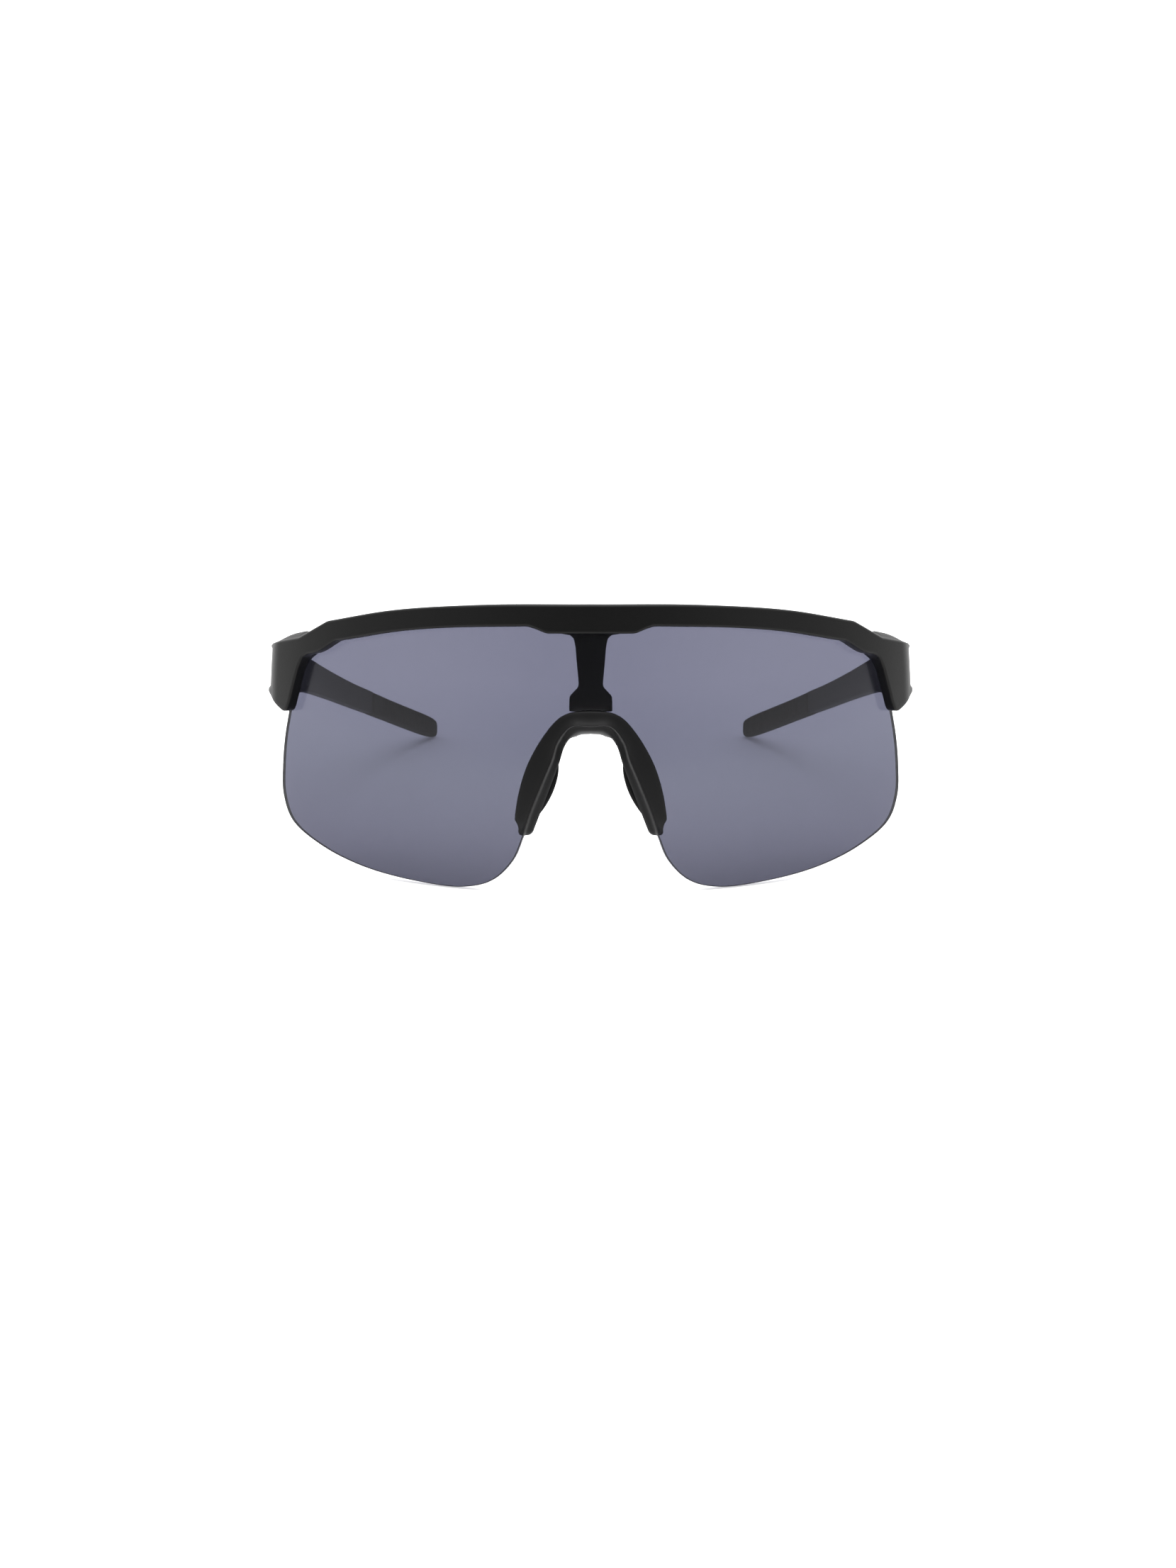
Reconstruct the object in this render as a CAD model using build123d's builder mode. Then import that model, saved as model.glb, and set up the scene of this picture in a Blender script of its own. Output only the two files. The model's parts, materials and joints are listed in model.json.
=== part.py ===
"""Wraparound sport sunglasses: one curved shield lens in a half-rim frame with folding temples.

Each piece is modelled with the front upright: x runs across the face with the wearer's left at +x, y runs
back to the ears, z is up, and the shield's outer face crosses the middle at y = 0. When all the pieces are
made, they are leant back to the way the glasses stand on a table: on the lens and on both temple tips.
"""
from build123d import *
import os
from math import asin, cos, radians, sin, sqrt

os.makedirs("parts", exist_ok=True)

# Shield: a barrel-shaped surface, turned about an upright axis behind the face.
WRAP_R = 95.0  # radius around the face
CROWN_R = 200.0  # radius from top to bottom
CROWN_Z = 33.0  # height where the shield stands furthest forward
LENS_T = 2.0
FIT = 0.1  # gap all round between the lens and what holds it
SHEET_TOP = 75.0  # the barrel surface is made over this height, then trimmed
SHEET_BOTTOM = -8.0
SHEET_ANGLE = 62.0  # degrees to each side

# Frame
RIM_FRONT = 2.6  # front face of the rim, ahead of the lens
RIM_BACK = 3.6  # back face of the rim, behind the lens
RIM_SPLIT = 1.0  # depth inside the groove where the front lip becomes the back lip
RIM_HALF = 65.0  # the rim meets the solid corners here
GROOVE_DEPTH = 2.3  # from the brow's top edge down to the lens
BAR_BACK = 4.6  # back face of the bar that drops behind the lens to the nosepiece
TAB_FRONT = 3.4  # front face of the tab that hooks behind the nosepiece
TAB_HALF = 3.6
TAB_BOTTOM = 37.4
TAB_TOP = 41.0
CORNER_R = 8.2
CORNER_ANGLE = 47.3  # degrees round the shield where the corner starts
BLOCK_ANGLE = 38.0  # degrees round the shield where the solid end piece starts
BLOCK_INSIDE_ANGLE = 46.0  # where its inner face leaves the back of the rim
BLOCK_BACK = 36.3  # its back face
BLOCK_INSIDE_Y = 34.0  # where its inner face turns straight back
BLOCK_BOTTOM = 30.0  # the corner is drawn between these heights, then trimmed to the frame's outline
BLOCK_TOP = 60.0
BLOCK_SIDE = [(10, 36), (27, 37.9), (33, 41.7), (45, 41.7), (45, 50.8), (24, 55.3), (10, 60), (10, 36)]

# Nosepiece
NOSE_RISE = 2.2  # front rim of the nosepiece, ahead of the lens
NOSE_FLANGE = 3.3  # back face of its rear flange
NOSE_WALL = 5.0  # back face of its bridge wall
PAD_BACK = 12.5
PAD_SPLAY = 24.0  # degrees, pads open towards the face
PAD_MIDDLE_Y = 8.0
PAD_GAP = 0.05  # between a pad and the wall in front of it
PAD_REACH = 12.0  # half the length a pad is drawn at, before it is trimmed

# Hinge: its axis leans with the temple, and its own plane has x across, y along the temple, z up the pin.
HINGE_X = 69.5
HINGE_Y = 38.0
HINGE_Z = 47.0
TEMPLE_DROP = 11.4  # degrees
LUG_TOP = 5.2  # half the height of the hinge
LUG_GAP = 2.6  # half the gap between the lugs
LUG_R = 2.15
KNUCKLE_R = 2.1
KNUCKLE_TOP = 2.35
SHOULDER = 2.4  # from the axis back to the temple's full section
SKIN_X = 2.25  # inner side of the thin outer skin beside the barrel
SLOT_FRONT = 2.3
SLOT_BACK = 6.0
SLOT_INSIDE = 14.0
AROUND = 8.0  # cuts round the hinge reach this far past it
HEAD_OUTSIDE = 3.0  # outer face of the hinge, from its axis
HEAD_LENGTH = 6.0
OPEN_GAP = 0.05  # left between the temple's stop face and the frame's
SCREW_R = 0.8
SCREW_HEAD_R = 1.4
SCREW_SEAT = 4.2
SCREW_HEAD_T = 0.8
SCREW_END = 4.6
DRIVE_W = 0.45
RUNNING = 0.03  # radial gap of the pieces that turn on the screw
PRESS = 0.01  # radial gap of the pieces that are pressed in
BUSH_R = 1.3
WASHER_R = 2.0
WASHER_T = 0.19
INSERT_LENGTH = 2.0

# Temples: plans list distance behind the axis, near side and far side outside the inner face's curve,
# and profiles list distance, top and bottom.
TEMPLE_R = 420.0  # radius of the curve round the head
TEMPLE_TOE_IN = 2.8  # degrees, at the hinge
INNER_X = -1.2  # inner face at the hinge
LONG_EDGE = 20.0  # edges longer than this run along the temple
ARM_PLAN = [(-1.5, 0, 4.2), (4, 0, 4.1), (13, 0, 3.5), (26, 0, 3.0), (50, 0, 2.8), (76, 0.1, 2.9)]
ARM_SIDE = [
    (-1.5, 5.2, -5.2), (4, 5.2, -4.95), (13, 5.3, -3.4), (22, 5.3, -2.3), (44, 5.2, -1.4), (76, 4.95, -0.72),
]
ARM_EDGE = 0.8
TANG_PLAN = [(74, 0.6, 2.4), (95, 0.7, 2.5), (116, 0.8, 2.5)]
TANG_SIDE = [(74, 3.8, 0.0), (95, 3.6, 0.0), (116, 3.0, -0.1)]
TANG_EDGE = 0.4
GRIP_PLAN = [(76.05, -0.15, 3.1), (90, -0.3, 3.3), (105, -0.35, 3.4), (118, -0.3, 3.3), (123.4, 0.1, 2.7)]
GRIP_SIDE = [
    (76.05, 5.1, -0.85), (90, 4.95, -0.85), (105, 4.65, -0.95), (118, 4.15, -1.2), (123.4, 3.0, -0.7),
]
GRIP_EDGE = 1.1
CORE_PLAN = [(40, 0.95, 1.85), (76, 1.05, 1.95), (114, 1.2, 2.1)]
CORE_SIDE = [(40, 2.7, 0.9), (76, 2.75, 0.95), (114, 2.35, 0.55)]
CORE_FIT = 0.06
TANG_FIT = 0.08

# Stance: how far the front leans back on a table, and where that puts the pieces.
LEAN = 8.06  # degrees

FRONT = Plane.XZ.offset(20)  # outlines are drawn here, ahead of everything
REACH = 90.0  # and cut this far back
OVERCUT = 1.0  # holes are cut this far past the faces they open on
WRAP_AXIS = Axis((0, WRAP_R, 0), (0, 0, 1))


def sheet_radius(z, offset):
    """Distance from the wrap axis, at a height, of the surface offset ahead of the lens's outer face."""
    return WRAP_R - CROWN_R + sqrt((CROWN_R + offset) ** 2 - (z - CROWN_Z) ** 2)


def sheet(ahead, behind):
    """The barrel-shaped layer between two offsets from the lens's outer face."""
    turn = radians(SHEET_ANGLE)
    edge = Plane(
        origin=(0, WRAP_R, 0),
        x_dir=(-sin(turn), -cos(turn), 0),
        z_dir=(-cos(turn), sin(turn), 0),
    )
    front = [(sheet_radius(z, ahead), z) for z in (SHEET_BOTTOM, CROWN_Z, SHEET_TOP)]
    back = [(sheet_radius(z, behind), z) for z in (SHEET_TOP, CROWN_Z, SHEET_BOTTOM)]
    with BuildPart() as layer:
        with BuildSketch(edge):
            with BuildLine():
                ThreePointArc(*front)
                Line(front[2], back[0])
                ThreePointArc(*back)
                Line(back[2], front[0])
            make_face()
        revolve(axis=WRAP_AXIS, revolution_arc=2 * SHEET_ANGLE)
    return layer.part


def brow_top():
    """The brow's top edge, from the middle to the end piece's corner."""
    Spline((0, 62.6), (24.3, 62.4), (43.1, 61.1), (58.6, 58.4), tangents=((1, 0), (1, -0.25)))
    Polyline((58.6, 58.4), (64.0, 55.65), (72.1, 53.65))


def end_piece_side():
    """The end piece's outline from its top corner down round to the lens."""
    Polyline((72.1, 53.65), (73.05, 53.0), (72.75, 52.2), (72.9, 48.0), (73.3, 43.3), (73.85, 42.3))
    Polyline((73.85, 42.3), (73.6, 41.5), (70.9, 38.9))
    ThreePointArc((70.9, 38.9), (69.4, 38.1), (68.1, 38.6))


def front_opening():
    """The opening in the front lip, drawn down past the lens's lower edge."""
    with BuildSketch(FRONT) as outline:
        with BuildLine():
            Polyline((0, 56.4), (9.5, 56.4))
            Spline((9.5, 56.4), (11.3, 57.2), (13.6, 58.0), tangents=((1, 0.1), (1, 0)))
            Spline((13.6, 58.0), (30.4, 57.6), (43.1, 56.5), (54.6, 54.75), tangents=((1, 0), (1, -0.2)))
            Polyline((54.6, 54.75), (57.7, 53.8), (61.5, 51.3), (63.6, 50.9), (64.9, 49.3))
            Spline((64.9, 49.3), (66.2, 43.5), (67.4, 38.9), tangents=((0.3, -1), (0.3, -1)))
            Polyline((67.4, 38.9), (68.1, 38.6), (69.4, 30), (69.4, -4), (0, -4), (0, 56.4))
        make_face()
        mirror(about=Plane.YZ)
    return outline.sketch


def frame_outline():
    """The whole frame from ahead, with its back lip's inner edge."""
    with BuildSketch(FRONT) as outline:
        with BuildLine():
            brow_top()
            end_piece_side()
            Polyline((68.1, 38.6), (66.6, 38.6), (65.9, 40.4))
            Polyline((65.9, 40.4), (64.3, 46.9), (62.7, 49.7), (57.3, 53.4), (54.6, 54.6))
            Spline((54.6, 54.6), (43.1, 56.3), (30.4, 57.4), (13.6, 57.8), tangents=((-1, 0.2), (-1, 0)))
            Spline((13.6, 57.8), (11.3, 57.0), (7.5, 56.3), tangents=((-1, 0), (-1, -0.1)))
            Polyline((7.5, 56.3), (0, 56.3), (0, 62.6))
        make_face()
        mirror(about=Plane.YZ)
    return outline.sketch


def lens_top(grow=0.0):
    """The lens's edge hidden in the frame, from mid-width to where it leaves the end piece."""
    up = grow - GROOVE_DEPTH
    Spline(
        (0, 62.6 + up), (24.3, 62.4 + up), (43.1, 61.1 + up), (56.6, 58.75 + up),
        tangents=((1, 0), (1, -0.2)),
    )
    Polyline((56.6, 58.75 + up), (62.9, 53.6 + grow), (67.2 + grow, 52.0 + grow), (68.2 + grow, 50.5))
    Line((68.2 + grow, 50.5), (68.5 + grow, 38.0))


def lens_outline():
    """The lens: its top edge is hidden in the brow, and its notch in the nosepiece."""
    with BuildSketch(FRONT) as outline:
        with BuildLine():
            lens_top()
            Spline(
                (68.5, 38.0), (69.6, 31.9), (70.3, 25.3), (70.3, 18.7), (68.1, 13.0), (60.9, 8.1),
                (50.6, 4.2), (37.5, 1.5), (27.9, 0.93), (21.6, 2.6), (16.9, 7.3), (14.46, 13.0),
            )
            Spline((14.46, 13.0), (14.3, 19.0), (13.1, 24.6), (10.6, 30.8), (7.4, 35.6), (4.0, 38.4))
            Polyline((4.0, 38.4), (0, 38.7), (0, 62.6 - GROOVE_DEPTH))
        make_face()
        mirror(about=Plane.YZ)
    return outline.sketch


def pocket_outline():
    """The room for the lens in the frame, a little larger than the lens's hidden edge."""
    with BuildSketch(FRONT) as outline:
        with BuildLine():
            lens_top(FIT)
            Polyline((68.5 + FIT, 38.0), (68.5 + FIT, 30), (0, 30), (0, 62.6 + FIT - GROOVE_DEPTH))
        make_face()
        mirror(about=Plane.YZ)
    return outline.sketch


def bar_outline():
    """The bar behind the lens, from the brow down to its foot."""
    with BuildSketch(FRONT) as outline:
        with BuildLine():
            Polyline((0, 58.5), (6.5, 58.5), (6.5, 56.2), (4.4, 56.0))
            Spline((4.4, 56.0), (3.4, 54.6), (3.2, 51.2), (2.68, 45.6), tangents=((-1, -0.2), (0.05, -1)))
            Polyline((2.68, 45.6), (2.83, 44.8), (4.4, 42.9), (4.6, 39.8), (0, 39.8), (0, 58.5))
        make_face()
        mirror(about=Plane.YZ)
    return outline.sketch


def nose_arch():
    """The inner edge of the nosepiece, where the nose goes, drawn down past its feet."""
    Spline(
        (0, 35.2), (3.0, 34.9), (5.3, 32.4), (6.7, 28.3), (10.4, 18.5), (12.4, 13.2),
        tangents=((1, 0), (0.37, -1)),
    )


def nose_rim_outline():
    """The nosepiece's front rim, from the nose arch out over the lens's notch."""
    with BuildSketch(FRONT) as outline:
        with BuildLine():
            nose_arch()
            Line((12.4, 13.2), (15.4, 13.4))
            Polyline((15.4, 13.4), (15.75, 15.1), (16.25, 16.0), (16.2, 17.4))
            Spline(
                (16.2, 17.4), (15.4, 22.1), (13.5, 28.2), (10.1, 34.4), (6.9, 38.2), (4.6, 39.7),
                tangents=((0, 1), (-1, 0.55)),
            )
            Polyline((4.6, 39.7), (0, 40.0), (0, 35.2))
        make_face()
        mirror(about=Plane.YZ)
    return outline.sketch


def nose_flange_outline():
    """The nosepiece's rear flange, which holds the lens's notch from behind."""
    with BuildSketch(FRONT) as outline:
        with BuildLine():
            nose_arch()
            Polyline((12.4, 13.2), (15.0, 13.6), (15.6, 18.0))
            Spline(
                (15.6, 18.0), (14.7, 22.5), (12.8, 28.2), (9.4, 34.4), (6.2, 37.9), (4.2, 39.3),
                tangents=((0, 1), (-1, 0.55)),
            )
            Polyline((4.2, 39.3), (0, 39.4), (0, 35.2))
        make_face()
        mirror(about=Plane.YZ)
    return outline.sketch


def nose_wall_outline():
    """The nosepiece's deep wall along the nose arch."""
    with BuildSketch(FRONT) as outline:
        with BuildLine():
            nose_arch()
            Polyline((12.4, 13.2), (14.0, 13.4))
            Spline(
                (14.0, 13.4), (11.0, 21.2), (8.7, 27.6), (6.7, 33.2), (4.0, 36.4),
                tangents=((-0.35, 1), (-1, 0.5)),
            )
            Polyline((4.0, 36.4), (0, 37.1), (0, 35.2))
        make_face()
        mirror(about=Plane.YZ)
    return outline.sketch


def trimmed(layer, outline):
    """The part of a layer that lies behind an outline."""
    with BuildPart() as piece:
        add(layer)
        extrude(outline, amount=-REACH, mode=Mode.INTERSECT)
    return piece.part


# ---- hinge and temple geometry, in the hinge's own plane
HINGE = Plane(
    origin=(HINGE_X, HINGE_Y, HINGE_Z),
    x_dir=(1, 0, 0),
    z_dir=(0, sin(radians(TEMPLE_DROP)), cos(radians(TEMPLE_DROP))),
)


SIDE = Plane(origin=HINGE.origin, x_dir=HINGE.y_dir, z_dir=HINGE.x_dir)


def inner_face(distance):
    """How far across from the hinge's axis the temple's inner face lies, at a distance behind it."""
    toe = asin(sin(radians(TEMPLE_TOE_IN)) + distance / TEMPLE_R)
    return INNER_X - TEMPLE_R * (cos(radians(TEMPLE_TOE_IN)) - cos(toe))


def temple_piece(plan, side, edge):
    """A bar that follows the temple's curve, rounded along its edges.

    plan lists distance and the two sides' distances outside the inner face's curve; side lists distance,
    top and bottom.
    """
    outer = [(inner_face(distance) + far, distance) for distance, near, far in plan]
    inner = [(inner_face(distance) + near, distance) for distance, near, far in plan]
    tops = [(distance, top) for distance, top, bottom in side]
    bottoms = [(distance, bottom) for distance, top, bottom in side]
    with BuildPart() as body:
        with BuildSketch(HINGE):
            with BuildLine():
                Spline(*outer)
                Spline(*inner)
                Line(outer[0], inner[0])
                Line(outer[-1], inner[-1])
            make_face()
        extrude(amount=REACH, both=True)
        with BuildSketch(SIDE):
            with BuildLine():
                Spline(*tops)
                Spline(*bottoms)
                Line(tops[0], bottoms[0])
                Line(tops[-1], bottoms[-1])
            make_face()
        extrude(amount=REACH, both=True, mode=Mode.INTERSECT)
        if edge:
            fillet(body.edges().filter_by(lambda e: e.length > LONG_EDGE), radius=edge)
    return body.part


def barrel(radius, bottom, top, bore=0.0):
    """A round piece on the hinge's axis, between two heights, with or without a bore."""
    with BuildPart() as body:
        with BuildSketch(HINGE.offset(bottom)):
            Circle(radius)
            if bore:
                Circle(bore, mode=Mode.SUBTRACT)
        extrude(amount=top - bottom)
    return body.part


def hinge_block(left, right, front, back, bottom, top):
    """A block in the hinge's plane."""
    with BuildPart() as body:
        with BuildSketch(HINGE.offset(bottom)):
            with Locations(((left + right) / 2, (front + back) / 2)):
                Rectangle(right - left, back - front)
        extrude(amount=top - bottom)
    return body.part


def around(radius, degrees):
    """The point at a radius and an angle round the shield, seen from above."""
    angle = radians(degrees)
    return (radius * sin(angle), WRAP_R - radius * cos(angle))


def end_block():
    """The solid corner between the brow and the hinge, before its groove and its slot are cut."""
    outer_r = WRAP_R + RIM_FRONT
    inner_r = WRAP_R - RIM_BACK
    turn = radians(CORNER_ANGLE)
    corner = around(outer_r, CORNER_ANGLE)
    side = (corner[0] + CORNER_R * (1 - sin(turn)), corner[1] + CORNER_R * cos(turn))
    inner_side = HINGE_X - LUG_R
    front_angles = (BLOCK_ANGLE, (BLOCK_ANGLE + CORNER_ANGLE) / 2)
    back_angles = (BLOCK_INSIDE_ANGLE, (BLOCK_ANGLE + BLOCK_INSIDE_ANGLE) / 2, BLOCK_ANGLE)
    front_arc = [around(outer_r, angle) for angle in front_angles]
    back_arc = [around(inner_r, angle) for angle in back_angles]
    with BuildPart() as block:
        with BuildSketch(Plane.XY.offset(BLOCK_BOTTOM)):
            with BuildLine():
                ThreePointArc(*front_arc, corner)
                TangentArc(corner, side, tangent=(cos(turn), sin(turn)))
                Polyline(side, (side[0], BLOCK_BACK), (inner_side, BLOCK_BACK))
                Line((inner_side, BLOCK_BACK), (inner_side, BLOCK_INSIDE_Y))
                Line((inner_side, BLOCK_INSIDE_Y), back_arc[0])
                ThreePointArc(*back_arc)
                Line(back_arc[2], front_arc[0])
            make_face()
        extrude(amount=BLOCK_TOP - BLOCK_BOTTOM)
        extrude(frame_outline(), amount=-REACH, mode=Mode.INTERSECT)
        with BuildSketch(Plane.YZ):
            with BuildLine():
                Polyline(*BLOCK_SIDE)
            make_face()
        extrude(amount=REACH, mode=Mode.INTERSECT)
    return block.part


def hinge_head():
    """The two lugs and the thin skin outside them, before the slot between the lugs is cut."""
    with BuildPart() as head:
        with BuildSketch(HINGE.offset(-LUG_TOP)):
            Circle(LUG_R)
            with Locations(((HEAD_OUTSIDE - LUG_R) / 2, -HEAD_LENGTH / 2)):
                Rectangle(HEAD_OUTSIDE + LUG_R, HEAD_LENGTH)
        extrude(amount=2 * LUG_TOP)
    return head.part


# ---- brow frame: the rim and each corner are cut to shape before they are joined
lens_pocket = trimmed(sheet(FIT, -LENS_T - FIT), pocket_outline())
opening = trimmed(sheet(RIM_FRONT + AROUND, -RIM_SPLIT), front_opening())
rim_blank = trimmed(sheet(RIM_FRONT, -RIM_BACK), frame_outline())
bar = trimmed(sheet(-LENS_T - FIT, -BAR_BACK), bar_outline())
with BuildSketch(FRONT) as tab_outline:
    with Locations((0, (TAB_BOTTOM + TAB_TOP) / 2)):
        Rectangle(2 * TAB_HALF, TAB_TOP - TAB_BOTTOM)
tab = trimmed(sheet(-TAB_FRONT, -BAR_BACK), tab_outline.sketch)
corner_blank = end_block()
head_blank = hinge_head()
slot = hinge_block(-SLOT_INSIDE, SKIN_X, -SLOT_FRONT, SLOT_BACK, -LUG_GAP, LUG_GAP)
screw_hole = barrel(SCREW_R + RUNNING, 0, LUG_TOP + OVERCUT)
screw_seat = barrel(SCREW_HEAD_R + RUNNING, SCREW_SEAT, LUG_TOP + OVERCUT)
insert_hole = barrel(BUSH_R + PRESS, -LUG_GAP - INSERT_LENGTH, 0)

with BuildPart() as rim:
    add(rim_blank)
    with BuildSketch(FRONT):
        with Locations((0, SHEET_TOP / 2)):
            Rectangle(2 * RIM_HALF, SHEET_TOP)
    extrude(amount=-REACH, mode=Mode.INTERSECT)
    add(opening, mode=Mode.SUBTRACT)
    add(lens_pocket, mode=Mode.SUBTRACT)

with BuildPart() as corner:
    add([corner_blank, head_blank])
    for piece in (lens_pocket, opening, slot, screw_hole, screw_seat, insert_hole):
        add(piece, mode=Mode.SUBTRACT)

with BuildPart() as brow_frame:
    add(rim.part)
    add(corner.part)
    mirror(corner.part, about=Plane.YZ)
    add([bar, tab])
brow_frame.part.label = "brow_frame"

# ---- shield lens
lens_sheet = sheet(0, -LENS_T)
with BuildPart() as shield_lens:
    add(lens_sheet)
    extrude(lens_outline(), amount=-REACH, mode=Mode.INTERSECT)
shield_lens.part.label = "shield_lens"

# ---- nosepiece
nose_rim = trimmed(sheet(NOSE_RISE, FIT), nose_rim_outline())
nose_flange = trimmed(sheet(-LENS_T - FIT, -NOSE_FLANGE), nose_flange_outline())
nose_wall = trimmed(sheet(NOSE_RISE, -NOSE_WALL), nose_wall_outline())
with BuildPart() as nose_bridge:
    add([nose_rim, nose_flange, nose_wall])
nose_bridge.part.label = "nose_bridge"

pad_layer = sheet(-NOSE_WALL - PAD_GAP, -PAD_BACK)
with BuildPart() as nose_pad_left:
    with BuildSketch(Plane.XZ.offset(-PAD_MIDDLE_Y)):
        with BuildLine():
            Spline((7.7, 31.6), (8.3, 26.8), (9.9, 22.0), (12.6, 16.8))
            Line((12.6, 16.8), (14.9, 17.8))
            Spline((14.9, 17.8), (12.3, 22.8), (10.7, 27.4), (10.1, 32.0))
            Line((10.1, 32.0), (7.7, 31.6))
        make_face()
    splay = radians(PAD_SPLAY)
    extrude(amount=PAD_REACH, dir=(-sin(splay), -cos(splay), 0), both=True)
    add(pad_layer, mode=Mode.INTERSECT)
nose_pad_left.part.label = "nose_pad_left"

def grown(stations, by):
    """The same stations with both sides moved out, for the cavity around a bar."""
    first = min(stations[0][1:]) == stations[0][1]
    step = by if first else -by
    ends = [stations[0][0] - by] + [s[0] for s in stations[1:-1]] + [stations[-1][0] + by]
    return [(distance, s[1] - step, s[2] + step) for distance, s in zip(ends, stations)]


# ---- temple and hinge, wearer's left
arm_body = temple_piece(ARM_PLAN, ARM_SIDE, ARM_EDGE)
tang = temple_piece(TANG_PLAN, TANG_SIDE, TANG_EDGE)
core_cavity = temple_piece(grown(CORE_PLAN, CORE_FIT), grown(CORE_SIDE, CORE_FIT), 0)
tang_cavity = temple_piece(grown(TANG_PLAN, TANG_FIT), grown(TANG_SIDE, TANG_FIT), 0)
stop_cut = hinge_block(-AROUND, AROUND, -AROUND, OPEN_GAP, -AROUND, AROUND)
lug_cut_high = hinge_block(-AROUND, SKIN_X, -AROUND, SHOULDER, KNUCKLE_TOP, AROUND)
lug_cut_low = hinge_block(-AROUND, SKIN_X, -AROUND, SHOULDER, -AROUND, -KNUCKLE_TOP)
knuckle = barrel(KNUCKLE_R, -KNUCKLE_TOP, KNUCKLE_TOP)
knuckle_bore = barrel(BUSH_R + PRESS, -KNUCKLE_TOP, KNUCKLE_TOP)

with BuildPart() as temple_arm_left:
    add(arm_body)
    add(stop_cut, mode=Mode.SUBTRACT)
    add([tang, knuckle])
    for piece in (lug_cut_high, lug_cut_low, knuckle_bore, core_cavity):
        add(piece, mode=Mode.SUBTRACT)
temple_arm_left.part.label = "temple_arm_left"

grip_body = temple_piece(GRIP_PLAN, GRIP_SIDE, GRIP_EDGE)
with BuildPart() as temple_grip_left:
    add(grip_body)
    add(tang_cavity, mode=Mode.SUBTRACT)
temple_grip_left.part.label = "temple_grip_left"

with BuildPart() as temple_core_left:
    add(temple_piece(CORE_PLAN, CORE_SIDE, 0))
temple_core_left.part.label = "temple_core_left"

with BuildPart() as hinge_screw_left:
    with BuildSketch(HINGE.offset(-SCREW_END)):
        Circle(SCREW_R)
    extrude(amount=SCREW_END + SCREW_SEAT)
    with BuildSketch(HINGE.offset(SCREW_SEAT)):
        Circle(SCREW_HEAD_R)
    extrude(amount=SCREW_HEAD_T)
    with BuildSketch(HINGE.offset(SCREW_SEAT + SCREW_HEAD_T)):
        Rectangle(2 * SCREW_HEAD_R, DRIVE_W)
    extrude(amount=-SCREW_HEAD_T / 2, mode=Mode.SUBTRACT)
hinge_screw_left.part.label = "hinge_screw_left"

with BuildPart() as hinge_bush_left:
    add(barrel(BUSH_R, PRESS - KNUCKLE_TOP, KNUCKLE_TOP - PRESS, bore=SCREW_R + RUNNING))
hinge_bush_left.part.label = "hinge_bush_left"

with BuildPart() as hinge_insert_left:
    add(barrel(BUSH_R, -LUG_GAP - INSERT_LENGTH + PRESS, -LUG_GAP - PRESS, bore=SCREW_R + PRESS))
hinge_insert_left.part.label = "hinge_insert_left"

with BuildPart() as upper_washer_left:
    add(barrel(WASHER_R, LUG_GAP - PRESS - WASHER_T, LUG_GAP - PRESS, bore=SCREW_R + RUNNING))
upper_washer_left.part.label = "upper_washer_left"

with BuildPart() as lower_washer_left:
    add(barrel(WASHER_R, -LUG_GAP + PRESS, -LUG_GAP + PRESS + WASHER_T, bore=SCREW_R + RUNNING))
lower_washer_left.part.label = "lower_washer_left"

# ---- the other side, and the stance
LEFT = (
    nose_pad_left, temple_arm_left, temple_grip_left, temple_core_left, hinge_screw_left,
    hinge_bush_left, hinge_insert_left, upper_washer_left, lower_washer_left,
)
finished = [brow_frame.part, shield_lens.part, nose_bridge.part]
for left in LEFT:
    with BuildPart() as right:
        mirror(left.part, about=Plane.YZ)
    right.part.label = left.part.label.replace("left", "right")
    finished += [left.part, right.part]

leaned = Compound(children=[piece.rotate(Axis.X, -LEAN) for piece in finished]).bounding_box()
shift = (0, -(leaned.min.Y + leaned.max.Y) / 2, -leaned.min.Z)
stance = Location(shift) * Location((0, 0, 0), (-LEAN, 0, 0))
for piece in finished:
    piece.move(stance)
    export_step(piece, f"parts/{piece.label}.step")

for name, piece in (("lens", shield_lens.part), ("grip", temple_grip_left.part)):
    print(name, "lowest", round(piece.bounding_box().min.Z, 3))
for side in (1, -1):
    foot = stance * Location((side * HINGE_X, HINGE_Y, HINGE_Z))
    top = stance * Location((side * HINGE_X, HINGE_Y + HINGE.z_dir.Y, HINGE_Z + HINGE.z_dir.Z))
    print("hinge at", foot.position, "axis", top.position - foot.position)
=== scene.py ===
import json
import math

import bmesh
import bpy
import numpy as np
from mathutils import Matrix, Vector
from mathutils.geometry import delaunay_2d_cdt


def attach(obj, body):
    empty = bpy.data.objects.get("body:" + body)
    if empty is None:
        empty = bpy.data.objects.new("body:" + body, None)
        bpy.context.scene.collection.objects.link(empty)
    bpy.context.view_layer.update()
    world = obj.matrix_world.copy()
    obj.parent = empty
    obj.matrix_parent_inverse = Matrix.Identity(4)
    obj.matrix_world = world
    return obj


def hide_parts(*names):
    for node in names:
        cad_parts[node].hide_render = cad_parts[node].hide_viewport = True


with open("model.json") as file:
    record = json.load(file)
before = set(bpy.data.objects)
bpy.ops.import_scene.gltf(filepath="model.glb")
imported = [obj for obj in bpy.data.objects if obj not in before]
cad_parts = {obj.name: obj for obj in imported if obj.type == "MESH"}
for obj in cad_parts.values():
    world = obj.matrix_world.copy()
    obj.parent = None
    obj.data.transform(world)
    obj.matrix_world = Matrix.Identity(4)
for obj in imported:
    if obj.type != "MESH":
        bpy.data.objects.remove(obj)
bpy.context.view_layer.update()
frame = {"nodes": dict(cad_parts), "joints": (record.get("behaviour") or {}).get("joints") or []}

MM = 0.001

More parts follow.
